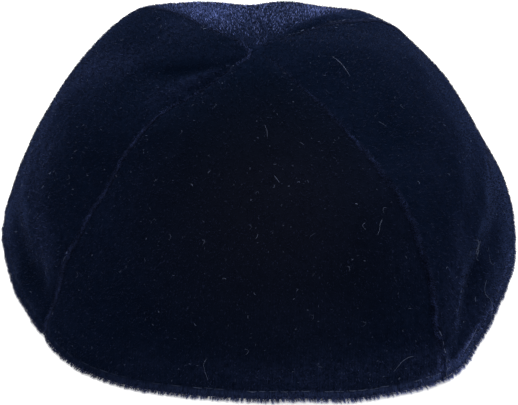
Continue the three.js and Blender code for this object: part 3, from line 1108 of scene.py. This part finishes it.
@dataclass
class GoreShell:
    """A gore as a closed cloth wall, with its hem turned under and its seam edges pressed back.

    Its lengths are in millimetres. Inside, the wall follows the outside's relief only so far across
    and up, and only so deep.
    """

    form: CapForm
    gore: GoreCut
    columns: int = 150
    outer_rows: int = 150
    fold_rows: int = 14
    hem_rows: int = 12
    inner_rows: int = 60
    crowding: float = 0.38
    row_ease: float = 1.35
    hem_height: float = 8.0
    hem_step: float = 0.5
    hem_groove: float = 0.4
    hem_groove_width: float = 0.7
    allowance: float = 6.5
    allowance_step: float = 0.45
    allowance_edge: float = 0.5
    inner_limits: tuple[float, float] = (0.98, 88.0)
    inner_depth: float = 0.6
    crown_dip: float = 0.3

    def across(self) -> np.ndarray:
        """Places across the gore, closer together towards both seams: the sine of an even span."""
        even = np.linspace(-1, 1, self.columns + 1)
        return (1 - self.crowding) * even + self.crowding * np.sin(even * math.pi / 2)

    def rows(self, across: np.ndarray) -> tuple[np.ndarray, np.ndarray, np.ndarray]:
        """The section from the crown down the outside, round the hem's fold and up the inside.

        Outside rows hold a climb and the velvet's relief. The fold is half a circle, and the rows
        inside it hold a height, turned into a climb by the radius at the rim.

        Args:
            across: places across the gore.

        Returns:
            Climb and depth for each place and row, and which rows are cloth backing.
        """
        form, wide = self.form, across[:, None]
        rim = form.radius(self.gore, wide, np.zeros((1, 1)))
        fold_top = form.hem_foot + form.hem_fold
        low = climb_at(fold_top / rim)
        outer = low + (90 - low) * (1 - np.linspace(0, 1, self.outer_rows)) ** self.row_ease
        outer_depth = form.relief(self.gore, wide, outer)
        start = outer_depth[:, -1:]
        turn = np.linspace(0, math.pi, self.fold_rows)[None, 1:-1]
        fold = climb_at((fold_top - form.hem_fold * np.sin(turn)) / rim)
        fold_depth = start + form.hem_fold * (1 - np.cos(turn))
        heights = np.linspace(fold_top, self.hem_height, self.hem_rows)[None, :]
        over_stitches = (heights - form.stitch_height) / self.hem_groove_width
        hem = climb_at(heights / rim)
        hem_depth = start + 2 * form.hem_fold - self.hem_groove * np.exp(-(over_stitches**2))
        top = climb_at((self.hem_height + self.hem_step) / rim)
        inner = top + (90 - top) * np.linspace(0, 1, self.inner_rows)
        farthest, highest = self.inner_limits
        slow = form.relief(self.gore, wide * farthest, np.minimum(inner, highest))
        slow = np.minimum(slow, form.pile_depth + self.inner_depth)
        inside = self.allowance - form.from_seam(self.gore, wide, inner, rim)
        pressed = self.allowance_step * np.clip(inside / self.allowance_edge, 0, 1)
        inner_depth = slow + form.cloth + pressed
        climb = np.concatenate([outer, fold, hem, inner], axis=1)
        depth = np.concatenate([outer_depth, fold_depth, hem_depth, inner_depth], axis=1)
        backing = np.arange(climb.shape[1]) >= climb.shape[1] - self.inner_rows
        return climb, depth, backing

    def build(self, materials: list[bpy.types.Material]) -> bpy.types.Object:
        """Lofts the section across the gore and closes it at both seams and at the crown.

        Args:
            materials: the velvet and the backing.

        Returns:
            The gore, standing for its node.
        """
        across = self.across()
        climb, depth, backing = self.rows(across)
        climb[:, [0, -1]] = 90.0
        depth[:, 0] = self.form.pile_depth + self.crown_dip
        depth[:, -1] = self.form.pile_depth + self.form.cloth + self.crown_dip
        wide = across[:, None] + 0 * climb
        points = self.form.place(self.gore, wide, climb, depth)
        columns, rows = climb.shape
        index = np.arange(columns * rows).reshape(columns, rows)
        index[:, 0] = index[0, 0]
        index[:, -1] = index[0, -1]
        a, b = index[:-1, :-1], index[1:, :-1]
        c, d = index[1:, 1:], index[:-1, 1:]
        quads = np.stack([a, d, c, b], axis=-1)
        band = np.broadcast_to(backing[:-1].astype(int), quads.shape[:2])
        middle = quads[:, 1:-1].reshape(-1, 4).tolist()
        crown = quads[:, 0][:, [0, 1, 2]].tolist()
        under = quads[:, -1][:, [0, 1, 3]].tolist()
        caps = [index[0, ::-1].tolist(), index[-1].tolist()]
        slots = np.concatenate([
            band[:, 1:-1].ravel(),
            np.zeros(len(crown), int),
            np.ones(len(under), int),
            np.ones(len(caps), int),
        ])
        radius = self.form.radius(self.gore, wide, climb)
        along = wide * self.form.half_girth(self.gore, climb, radius)
        uv = np.stack([along, radius * np.radians(climb)], axis=-1) * MM
        # Vertex shades: the nap with painted highlights and shade, and the hem's painted highlight.
        nap = self.form.nap(self.gore, wide, climb)
        wear = along_rim(self.form.azimuth(self.gore, wide), "paleness_and_highlight")
        piece = new_piece(self.gore.name, points, middle + crown + under + caps, materials,
                          slots, uv.reshape(-1, 2), nap=nap.ravel(), wear=wear.ravel())
        for cap in piece.data.polygons[-len(caps):]:
            cap.use_smooth = False
        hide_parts(self.gore.node)
        return piece


@dataclass
class PileCoat:
    """The standing pile of one gore: short hairs all over it, brushed down towards the rim.

    Lengths and thicknesses are in millimetres. The hairs grow out to a place across the gore, and
    between two heights as shares of the radius. They are thickest where the nap and the painted
    highlights are full.
    """

    form: CapForm
    gore: GoreCut
    count: int = 30000
    farthest: float = 0.998
    heights: tuple[float, float] = (0.012, 0.9995)
    length: tuple[float, float] = (0.55, 0.95)
    thickness: tuple[float, float] = (0.05, 0.10)
    full_nap: float = 0.15
    lean: float = 0.35
    stray: float = 0.32
    bend: float = 0.25
    tip: float = 0.055
    brushed_and_lit: float = 2.2
    clump: float = 0.7
    dimmest: float = 0.02
    glint_gain: float = 4.0
    glint_rarity: int = 6
    seed: int = 11

    def build(self, material: bpy.types.Material) -> bpy.types.Object:
        """Plants the hairs evenly by area: the climb is the arcsine of an even number.

        Where the nap is brushed up or a highlight is painted the hairs are thicker and their tips
        are painted paler, in clumps. A few tips are much paler than the rest, as painted glints.

        Args:
            material: the hairs' finish.

        Returns:
            The coat.
        """
        rng = np.random.default_rng(self.seed)
        across = rng.uniform(-self.farthest, self.farthest, self.count)
        climb = climb_at(rng.uniform(*self.heights, self.count))
        point, out, up, level = self.form.frames(self.gore, across, climb)
        stray = rng.normal(0, self.stray, (self.count, 2))
        aims = unit(out + up * (stray[:, :1] - self.lean) + level * stray[:, 1:])
        lengths = rng.uniform(*self.length, self.count) * MM
        nap = np.clip(self.form.nap(self.gore, across, climb), 0, 1)
        fine, thick = self.thickness
        radii = (fine + (thick - fine) * np.clip(nap / self.full_nap, 0, 1)) * MM
        bends = -up * (lengths * rng.uniform(0.0, self.bend, self.count))[:, None]
        # Painted highlights: tips paler where the gore is painted pale, and a rare few much paler
        # as painted glints.
        tips = self.tip + nap * self.brushed_and_lit * cell_shade(point, self.clump * MM) ** 1.5
        tips *= self.dimmest + self.glint_gain * rng.uniform(0, 1, self.count) ** self.glint_rarity
        return plant(self.gore.piece("pile"), material, spikes(point, aims, lengths, radii, bends),
                     np.clip(tips, 0, 1))


@dataclass
class RimFringe:
    """The pile that splays out round the hem's fold, so the rim ends in fine hairs.

    Lengths are in millimetres, and the turns round the fold in radians.
    """

    form: CapForm
    gore: GoreCut
    hairs: int = 30
    lock_pitch: float = 0.62
    lock_spread: float = 0.18
    length: tuple[float, float] = (1.2, 1.95)
    thickness: float = 0.06
    notch: float = 0.03
    turns: tuple[float, float] = (-0.25, 2.0)
    rise_above: float = 2.2
    droop: float = 0.35
    outwards: float = 0.25
    steepest: float = 0.98
    table_gap: float = 0.04
    seed: int = 23

    def build(self, material: bpy.types.Material) -> bpy.types.Object:
        """Plants hairs round the half circle of the fold, pointing out of it and downwards.

        The hairs hang together in locks, which share a place, a length, a lean and a shade. No
        hair goes under the table: one that would is laid flatter along it.

        Args:
            material: the hairs' finish.

        Returns:
            The fringe.
        """
        rng = np.random.default_rng(self.seed)
        locks = int(2 * self.form.half_girth(self.gore) / self.lock_pitch)
        lock = np.repeat(np.arange(locks), self.hairs)
        shared = rng.uniform(0, 1, (locks, 4))[lock]
        spread = rng.normal(0, self.lock_spread / self.lock_pitch, len(lock))
        across = np.clip(-1 + 2 * (lock + shared[:, 0] + spread) / locks, -1, 1)
        rim = self.form.radius(self.gore, across, 0 * across)
        gap = self.form.from_seam(self.gore, across, 0.0, rim)
        kept = gap > self.notch * rng.uniform(0, 1, len(lock))
        across, shared, rim = across[kept], shared[kept], rim[kept]
        count = len(across)
        turn = rng.uniform(*self.turns, count)
        round_fold = np.clip(turn, 0, math.pi)
        fold, foot = self.form.hem_fold, self.form.hem_foot
        height = np.where(turn < 0, foot + fold - turn * self.rise_above,
                          foot + fold * (1 - np.sin(round_fold)))
        climb = climb_at(height / rim)
        face = self.form.relief(self.gore, across, climb)
        depth = face + fold * (1 - np.cos(round_fold))
        roots = self.form.place(self.gore, across, climb, depth)
        bearing = self.form.azimuth(self.gore, across)
        azimuth = np.radians(bearing)
        out = np.stack([np.sin(azimuth), -np.cos(azimuth), 0 * azimuth], axis=-1)
        level = np.stack([np.cos(azimuth), np.sin(azimuth), 0 * azimuth], axis=-1)
        down = np.array([[0.0, 0.0, -1.0]])
        splay = round_fold[:, None]
        lean = (shared[:, 1:2] - 0.5) * 0.5 + rng.normal(0, 0.08, (count, 1))
        aims = unit(out * (np.cos(splay) + self.outwards) + down * (np.sin(splay) + self.droop)
                    + level * lean)
        shortest, longest = self.length
        lengths = shortest + (longest - shortest) * shared[:, 2] ** 1.3
        lengths *= along_rim(bearing, "length") * rng.uniform(0.7, 1.05, count) * MM
        lowest = -(roots[:, 2] - self.table_gap * MM) / lengths
        aims[:, 2] = np.maximum(aims[:, 2], np.maximum(lowest, -self.steepest))
        flat = np.sqrt(1 - aims[:, 2] ** 2) / np.linalg.norm(aims[:, :2], axis=1)
        aims[:, :2] *= flat[:, None]
        bends = level * (lengths * rng.normal(0, 0.12, count))[:, None]
        radii = rng.uniform(0.7, 1.1, count) * self.thickness * MM
        # Painted highlight: tips paler where the rim is painted paler and the further round the
        # fold they turn, as if lit from behind by the table.
        tips = along_rim(bearing, "paleness_and_highlight") * (0.4 + 0.6 * shared[:, 3])
        tips *= (0.8 + 1.4 * np.clip(turn, 0, 1.5)) * rng.uniform(0.6, 1, count)
        return plant(self.gore.piece("rim_fringe"), material,
                     spikes(roots, aims, lengths, radii, bends, steps=2),
                     np.clip(tips, 0, 1), steps=2)


@dataclass
class SeamPile:
    """The pile pushed up along one edge of a gore, where the seam squeezes it.

    Lengths are in millimetres. From the climb where it thins the pile gets sparser towards the
    crown, and its painted highlight falls from the seam out to the band's width.
    """

    form: CapForm
    gore: GoreCut
    edge: int
    count: int = 3000
    heights: tuple[float, float] = (0.008, 0.9995)
    length: tuple[float, float] = (0.45, 1.05)
    thickness: float = 0.05
    width: float = 1.15
    nearest: float = 0.03
    stray: float = 0.42
    gone_climb: float = 92.0
    thins_over: float = 45.0
    crown_share: float = 0.3
    usual_shade: float = 0.60
    blotch: float = 0.28
    shades: tuple[float, float] = (0.22, 1.1)
    seed: int = 37

    def build(self, material: bpy.types.Material) -> bpy.types.Object:
        """Plants hairs in a band beside the seam, leaning over it.

        Args:
            material: the hairs' finish.

        Returns:
            The ridge of pile.
        """
        rng = np.random.default_rng(self.seed + self.edge)
        climb = climb_at(rng.uniform(*self.heights, self.count))
        kept = np.clip((self.gone_climb - climb) / self.thins_over, self.crown_share, 1.0)
        climb = climb[rng.uniform(size=self.count) < kept]
        count = len(climb)
        girth = self.form.half_girth(self.gore, climb)
        away = self.nearest + self.width * rng.uniform(0, 1, count) ** 1.4
        across = self.edge * (1 - np.minimum(away / np.maximum(girth, 0.5), 0.6))
        point, out, up, level = self.form.frames(self.gore, across, climb)
        over = level * self.edge
        stray = rng.normal(0, self.stray, (count, 2))
        aims = unit(out + over * (0.25 + stray[:, :1]) + up * (stray[:, 1:] - 0.2))
        lengths = rng.uniform(*self.length, count) * MM
        radii = np.full(count, self.thickness * MM)
        bends = over * (lengths * rng.normal(0.05, 0.15, count))[:, None]
        rise = USUAL_RADIUS * np.radians(climb)
        blotch = (rippled(SEED_BLOTCHES, rise, self.seed)
                  + rippled(SIDE_BLOTCHES, rise, self.edge))
        seam, side = ((self.gore.first, "first") if self.edge < 0 else
                      (self.gore.second, "second"))
        # Painted highlight along the seam: tips paler by the seam's given shade, and palest next to
        # it.
        tips = np.clip(self.usual_shade + self.blotch * blotch, *self.shades)
        tips *= np.interp(climb, PALENESS_CLIMBS, SEAMS[seam].paleness_and_highlight)
        tips *= (1.25 - 0.6 * away / self.width) * rng.uniform(0, 1, count) ** 1.4
        return plant(self.gore.piece(side + "_seam_pile"), material,
                     spikes(point, aims, lengths, radii, bends), tips, root=0.6)


@dataclass
class RimStitches:
    """The line of machine stitches that holds the hem, about 3 mm above the edge.

    Lengths are in millimetres.
    """

    form: CapForm
    rim_radius: float = 84.0
    pitch: float = 3.0
    bite: float = 0.30
    thread: float = 0.15
    rise: float = 0.12
    sunk: float = 0.30
    stray: float = 0.12
    paleness_and_highlight: float = 1.9
    points: int = 7
    seed: int = 5

    def build(self, material: bpy.types.Material) -> bpy.types.Object:
        """Lays each stitch along the groove as a low arch: its height is a parabola.

        Args:
            material: the thread's finish.

        Returns:
            All the stitches.
        """
        rng = np.random.default_rng(self.seed)
        strands = Strands()
        step = np.linspace(0, 1, self.points)
        middle = self.points // 2
        for gore in GORES:
            girth = 2 * self.form.half_girth(gore, radius=self.rim_radius)
            count = int(girth / self.pitch)
            start = np.arange(count)[:, None] / count
            share = (self.pitch - self.bite) / self.pitch / count
            across = -1 + 2 * (start + share * step + 0.5 * (1 / count - share))
            across += rng.normal(0, 0.1, (count, 1)) / count
            across = np.clip(across, -0.999, 0.999)
            height = self.form.stitch_height + rng.normal(0, self.stray, (count, 1))
            climb = climb_at(height / self.form.radius(gore, across, 0 * across + 2.0))
            point, out, _, _ = self.form.frames(gore, across, climb)
            arch = self.rise * 4 * step * (1 - step) - self.sunk * rng.uniform(0, 1, (count, 1))
            # The stitches are painted paler where the rim's painted highlight is.
            shown = along_rim(self.form.azimuth(gore, across[:, middle]), "paleness_and_highlight") - 0.1
            strands.add(point + out * arch[:, :, None] * MM, out[:, middle],
                        self.paleness_and_highlight * shown * rng.uniform(0.2, 1, count))
        return strands.piece("rim_stitches", material, self.thread, sides=6, ends=0.6)


@dataclass
class SeamThreads:
    """Short stretches of the seams' own thread, where it shows through the pile."""

    form: CapForm
    pitch: float = 2.4
    stitch: float = 1.5
    thread: float = 0.10
    lift: float = 1.0
    stray: float = 0.12
    points: int = 5
    seed: int = 53

    def build(self, material: bpy.types.Material) -> bpy.types.Object:
        """Lays stitches up the stretches that show, each a straight line with a little stray.

        Args:
            material: the thread's finish.

        Returns:
            All the stretches.
        """
        rng = np.random.default_rng(self.seed)
        strands = Strands()
        step = np.linspace(0, 1, self.points)
        for run in THREAD_RUNS:
            gore = next(gore for gore in GORES if gore.first is run.seam)
            girth = USUAL_RADIUS * math.radians(run.high - run.low)
            starts = np.arange(0, girth - self.stitch, self.pitch)
            starts = starts[rng.uniform(size=len(starts)) < run.share]
            count = len(starts)
            rise = starts[:, None] + self.stitch * rng.uniform(0.5, 1.15, (count, 1)) * step
            climb = run.low + np.degrees(rise / USUAL_RADIUS)
            point, out, _, level = self.form.frames(gore, np.full(climb.shape, -0.9995), climb)
            aside = rng.normal(0, self.stray, (count, 2)) @ np.stack([1 - step, step])
            strands.add(point + (out * self.lift + level * aside[:, :, None]) * MM,
                        out[:, self.points // 2], rng.uniform(run.dimmest, 1, count))
        return strands.piece("seam_threads", material, self.thread, sides=5)


@dataclass
class CrownTuft:
    """The short curl of pale pile where the four seams meet."""

    form: CapForm
    count: int = 170
    length: tuple[float, float] = (0.5, 1.0)
    thickness: float = 0.05
    scatter: float = 0.45
    stray: float = 0.4
    shades: tuple[float, float] = (0.05, 0.3)
    seed: int = 67

    def build(self, material: bpy.types.Material) -> bpy.types.Object:
        """Plants hairs beside a line through the curl's charted places.

        Args:
            material: the hairs' finish.

        Returns:
            The tuft.
        """
        rng = np.random.default_rng(self.seed)
        knots = []
        for name, azimuth, climb in CROWN_CURL:
            gore = gore_named(name)
            across = self.form.across_at(gore, np.array([azimuth]))
            point, out, _, _ = self.form.frames(gore, across, np.array([climb]))
            knots.append(np.append(point[0], out[0]))
        along = rng.uniform(0, len(knots) - 1, self.count)
        line = np.stack([np.interp(along, np.arange(len(knots)), column)
                         for column in np.transpose(knots)], axis=-1)
        out = unit(line[:, 3:])
        roots = line[:, :3]
        roots += rng.normal(0, self.scatter * MM, roots.shape) * (1 - np.abs(out))
        aims = unit(out + rng.normal(0, self.stray, roots.shape))
        lengths = rng.uniform(*self.length, self.count) * MM
        radii = np.full(self.count, self.thickness * MM)
        return plant("crown_tuft", material, spikes(roots, aims, lengths, radii, 0 * roots),
                     rng.uniform(*self.shades, self.count), root=0.6)


@dataclass
class Lint:
    """Pale lint and stray hairs caught in the pile: scattered dots and curls, and charted hairs.

    Lengths are in millimetres, and bends in radians.
    """

    form: CapForm
    dots: int = 450
    dot_length: tuple[float, float] = (0.2, 0.6)
    dot_bend: float = 1.0
    dot_shade: float = 0.45
    curls: int = 42
    curl_bend: float = 2.2
    curl_shades: tuple[float, float] = (0.1, 0.6)
    thickness: tuple[float, float] = (0.03, 0.055)
    charted_share: float = 0.6
    charted_lift: float = 0.7
    wave: float = 0.12
    points: int = 9
    seed: int = 71

    def scattered(self, rng: np.random.Generator, gore: GoreCut, length: np.ndarray,
                  bend: float) -> tuple[np.ndarray, np.ndarray]:
        """Lays arcs on the pile in the cloth's own two directions, lifted at an end.

        Args:
            rng: the source of chance.
            gore: the gore.
            length: the length of each.
            bend: how much they bend.

        Returns:
            The lines, and the way out of the cloth at each.
        """
        count = len(length)
        step = np.linspace(-0.5, 0.5, self.points)
        across = rng.uniform(-0.97, 0.97, count)
        climb = climb_at(rng.uniform(0.03, 0.99, count))
        point, out, up, level = self.form.frames(gore, across, climb)
        turn = rng.uniform(0, math.tau, (count, 1)) + rng.normal(0, bend, (count, 1)) * step
        run = np.stack([np.cos(turn), np.sin(turn)], axis=-1)
        path = np.cumsum(run * (length / (self.points - 1))[:, None, None], axis=1) * MM
        lift = 0.45 + rng.uniform(-0.1, 0.3, (count, 1)) + step * rng.normal(0, 0.2, (count, 1))
        line = (point[:, None] + level[:, None] * path[..., :1] + up[:, None] * path[..., 1:]
                + out[:, None] * lift[..., None] * MM)
        return line, out

    def charted(self, rng: np.random.Generator) -> tuple[np.ndarray, np.ndarray]:
        """Lays each charted hair on a smooth line through its places, a parabola through three.

        Args:
            rng: the source of chance.

        Returns:
            The lines, and the way out of the cloth at each.
        """
        lines, ups = [], []
        share = np.linspace(0, 1, self.points)
        weights = np.stack([2 * (share - 0.5) * (share - 1), 4 * share * (1 - share),
                            2 * share * (share - 0.5)], axis=-1)
        for name, hairs in CHARTED_LINT.items():
            gore = gore_named(name)
            for hair in hairs:
                table = np.reshape(hair, (-1, 2))
                if len(table) == 2:
                    table = np.insert(table, 1, table.mean(axis=0), axis=0)
                azimuth, climb = (weights @ table).T
                across = self.form.across_at(gore, azimuth)
                point, out, _, level = self.form.frames(gore, across, climb)
                wave = self.wave * np.sin(share * rng.uniform(4, 9) + rng.uniform(0, 6))
                lines.append(point + (out * self.charted_lift + level * wave[:, None]) * MM)
                ups.append(out[self.points // 2])
        return np.array(lines), np.array(ups)

    def build(self, material: bpy.types.Material) -> bpy.types.Object:
        """Makes all the lint as thin closed strands.

        Args:
            material: the lint's finish.

        Returns:
            The lint.
        """
        rng = np.random.default_rng(self.seed)
        strands = Strands()
        for gore in GORES:
            length = rng.uniform(*self.dot_length, self.dots)
            line, out = self.scattered(rng, gore, length, self.dot_bend)
            strands.add(line, out, self.dot_shade * rng.uniform(0, 1, self.dots) ** 3)
            length = rng.gamma(2.5, 0.26, self.curls) + 0.4
            line, out = self.scattered(rng, gore, length, self.curl_bend)
            strands.add(line, out, rng.uniform(*self.curl_shades, self.curls))
        line, out = self.charted(rng)
        run = np.linalg.norm(np.diff(line, axis=1), axis=2).sum(axis=1) / MM
        shade = (0.2 + 0.6 * np.clip(run / 7, 0, 1)) * rng.uniform(0.7, 1, len(line))
        strands.add(line, out, shade)
        radii = rng.uniform(*self.thickness, sum(map(len, strands.lines)))
        radii[-len(line):] *= self.charted_share
        return strands.piece("lint", material, radii, sides=3, ends=0.5)


@dataclass(frozen=True)
class SoftLight:
    """A square soft light: its name, its place and its side in metres, and its power in watts."""

    name: str
    place: tuple[float, float, float]
    side: float
    power: float


@dataclass
class Studio:
    """A pale tabletop, soft lights overhead and behind, and the camera.

    The camera's distance and sensor are in millimetres, and the other lengths in metres.
    """

    form: CapForm
    tilt: float = 37.0
    distance: float = 447.2
    focal_px: float = 1316.95
    frame_px: tuple[int, int] = (518, 405)
    aim_px: tuple[float, float] = (259.3, 220.93)
    sensor: float = 36.0
    sight: tuple[float, float] = (0.01, 20.0)
    surround: float = 0.45
    table_reach: float = 3.0
    lit_place: tuple[float, float, float] = (0.0, 0.0, 0.03)
    lights: tuple[SoftLight, ...] = (
        SoftLight("overhead_soft", (0.0, 0.35, 1.0), 0.8, 16.0),
        SoftLight("back_soft", (-0.15, 1.0, 0.55), 0.5, 6.0),
    )

    def add(self, name: str, data: bpy.types.ID) -> bpy.types.Object:
        """Puts a mesh, a light or a camera into the scene."""
        made = bpy.data.objects.new(name, data)
        bpy.context.collection.objects.link(made)
        return made

    def camera(self) -> None:
        """Puts the camera in front, looking down at the middle of the rim."""
        data = bpy.data.cameras.new("camera")
        camera = self.add("camera", data)
        back = Vector((0, -math.cos(math.radians(self.tilt)), math.sin(math.radians(self.tilt))))
        middle = Vector((-self.form.middle[0], -self.form.middle[1], 0))
        camera.location = (middle + back * self.distance) * MM
        camera.rotation_euler = (-back).to_track_quat("-Z", "Y").to_euler()
        width, height = self.frame_px
        data.sensor_width = self.sensor
        data.lens = self.focal_px / width * self.sensor
        data.shift_x = -(self.aim_px[0] - width / 2) / width
        data.shift_y = (self.aim_px[1] - height / 2) / width
        data.clip_start, data.clip_end = self.sight
        bpy.context.scene.camera = camera

    def light(self, plan: SoftLight) -> None:
        """Adds a light that faces the cap."""
        data = bpy.data.lights.new(plan.name, "AREA")
        data.size = plan.side
        data.energy = plan.power
        light = self.add(plan.name, data)
        light.location = plan.place
        away = Vector(self.lit_place) - Vector(plan.place)
        light.rotation_euler = away.to_track_quat("-Z", "Y").to_euler()

    def table(self) -> None:
        """Lays the tabletop under the cap."""
        mesh = bpy.data.meshes.new("tabletop")
        reach = self.table_reach
        mesh.from_pydata([(-reach, -reach, 0), (reach, -reach, 0), (reach, reach, 0),
                          (-reach, reach, 0)], [], [(0, 1, 2, 3)])
        mesh.materials.append(FloorFinish().material())
        table = self.add("tabletop", mesh)

    def build(self) -> None:
        """Sets the table, the lights, the surrounding light and the camera."""
        self.table()
        for plan in self.lights:
            self.light(plan)
        world = bpy.data.worlds.new("studio")
        world.use_nodes = True
        background = world.node_tree.nodes["Background"]
        background.inputs["Color"].default_value = (1, 1, 1, 1)
        background.inputs["Strength"].default_value = self.surround
        scene = bpy.context.scene
        scene.world = world
        scene.view_settings.view_transform = "Standard"
        scene.view_settings.look = "None"
        self.camera()


def main() -> None:
    """Builds the cap, the table, the lights and the camera."""
    form = CapForm()
    backing = BackingFinish().material()
    velvets = {gore.name: VelvetFinish(gore.name) for gore in GORES}
    velvets["front_velvet"] = VelvetFinish("front_velvet", grey_patch=0.5)
    velvets["back_velvet"] = VelvetFinish("back_velvet", nap_share=0.4, sheen=0.24,
                                          sheen_roughness=0.32)
    # The light colours of the pile, fringe and seam pile are the painted highlights of their tips.
    pile = StrandFinish("navy_pile", (0.0010, 0.0024, 0.0070), (0.280, 0.370, 0.920),
                        sheen=0.05).material()
    splayed = StrandFinish("rim_pile", (0.0080, 0.0130, 0.0400), (0.300, 0.400, 1.000),
                           sheen=0.05).material()
    ridge = StrandFinish("seam_pile", (0.0020, 0.0046, 0.0140), (0.066, 0.098, 0.275),
                         sheen=0.08).material()
    thread = StrandFinish("navy_thread", (0.012, 0.018, 0.038), (0.100, 0.125, 0.220)).material()
    fluff = StrandFinish("pale_lint", (0.035, 0.045, 0.09), (0.29, 0.34, 0.50)).material()
    # The back gore's pile tips take far more painted highlight, for its grazing sheen.
    brushed_and_lit = {"back_velvet": 6.0}
    for number, gore in enumerate(GORES):
        GoreShell(form, gore).build([velvets[gore.name].material(), backing])
        PileCoat(form, gore, brushed_and_lit=brushed_and_lit.get(gore.name, PileCoat.brushed_and_lit),
                 seed=PileCoat.seed + number).build(pile)
        RimFringe(form, gore, seed=RimFringe.seed + number).build(splayed)
        for edge in (-1, 1):
            SeamPile(form, gore, edge, seed=SeamPile.seed + 4 * number).build(ridge)
    CrownTuft(form).build(splayed)
    RimStitches(form).build(thread)
    SeamThreads(form).build(thread)
    Lint(form).build(fluff)
    Studio(form).build()


if __name__ == "__main__":
    main()
